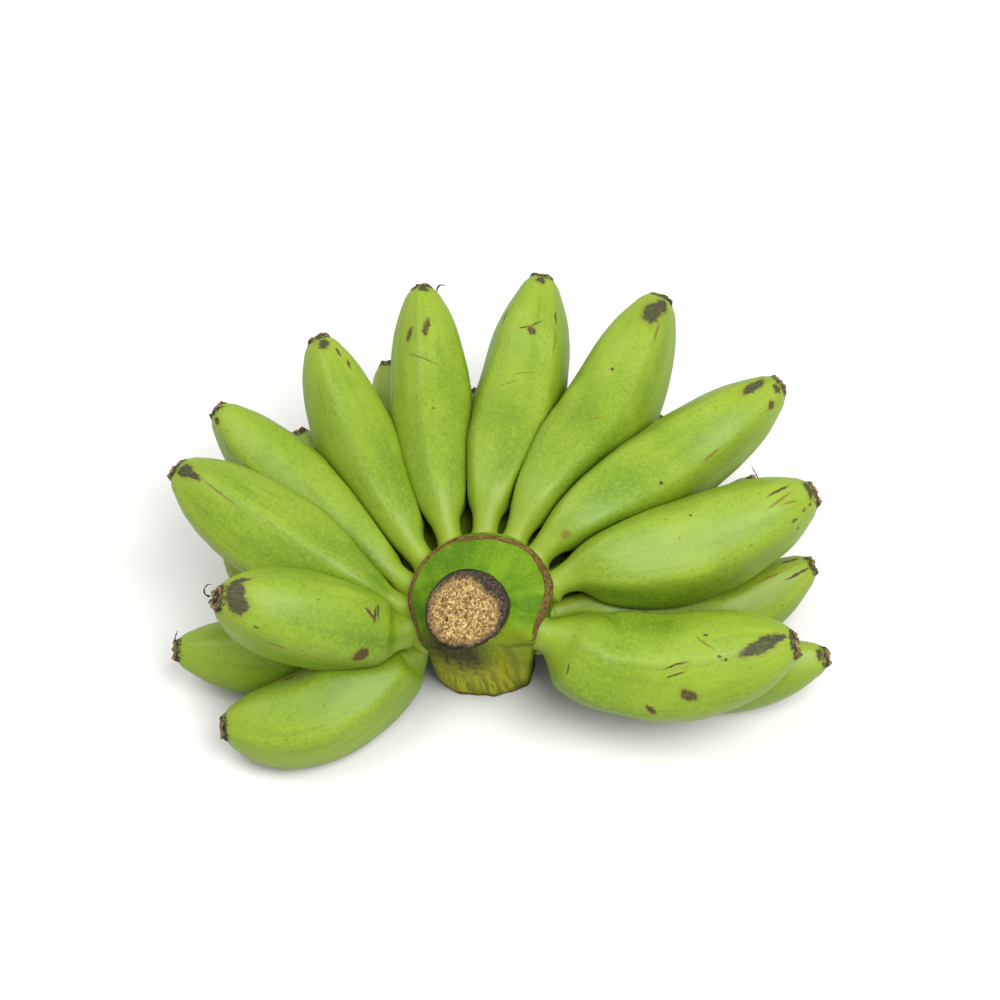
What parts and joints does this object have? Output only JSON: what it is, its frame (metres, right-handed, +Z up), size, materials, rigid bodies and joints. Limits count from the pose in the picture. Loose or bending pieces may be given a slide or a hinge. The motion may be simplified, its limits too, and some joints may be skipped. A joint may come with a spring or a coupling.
{
  "type": "hand of baby bananas",
  "caption": "Hand of unripe green baby bananas: two rows of plump fingers fanned round a crown on a short cut stem, lying on a surface.",
  "frame": {"origin": "middle of the hand's outline on the table, at table height", "axes": "+X to the right along the fan's greatest width, +Y away from the cut stem towards the middle fingers' tips, +Z up"},
  "size_m": [0.2723, 0.2041, 0.0921],
  "materials": {
    "peel": "satin, waxy green skin with pale and dark bands along its ridges, specks and brown scratches",
    "crown_skin": "satin green skin, streaked brown and grey towards the stem's cut ends",
    "cork_scar": "matt brown cork with fine grooves",
    "cut_flesh": "matt tan fibre, dried and speckled, with a blackened rim",
    "dried_flower": "matt dark brown, withered and ragged"
  },
  "bodies": {
    "root": {"crown_and_stem": "crown_skin", "finger_upper_01": "peel", "finger_upper_02": "peel", "finger_upper_03": "peel", "finger_upper_04": "peel", "finger_upper_05": "peel", "finger_upper_06": "peel", "finger_upper_07": "peel", "finger_upper_08": "peel", "finger_upper_09": "peel", "finger_upper_10": "peel", "finger_upper_11": "peel", "finger_lower_01": "peel", "finger_lower_02": "peel", "finger_lower_03": "peel", "finger_lower_04": "peel", "finger_lower_05": "peel", "finger_lower_06": "peel", "finger_lower_07": "peel", "finger_lower_08": "peel", "finger_lower_09": "peel", "finger_lower_10": "peel", "dried_end_upper_01": "dried_flower", "dried_end_upper_02": "dried_flower", "dried_end_upper_03": "dried_flower", "dried_end_upper_04": "dried_flower", "dried_end_upper_05": "dried_flower", "dried_end_upper_06": "dried_flower", "dried_end_upper_07": "dried_flower", "dried_end_upper_08": "dried_flower", "dried_end_upper_09": "dried_flower", "dried_end_upper_10": "dried_flower", "dried_end_upper_11": "dried_flower", "dried_end_lower_01": "dried_flower", "dried_end_lower_02": "dried_flower", "dried_end_lower_03": "dried_flower", "dried_end_lower_04": "dried_flower", "dried_end_lower_05": "dried_flower", "dried_end_lower_06": "dried_flower", "dried_end_lower_07": "dried_flower", "dried_end_lower_08": "dried_flower", "dried_end_lower_09": "dried_flower", "dried_end_lower_10": "dried_flower"}
  },
  "joints": []
}
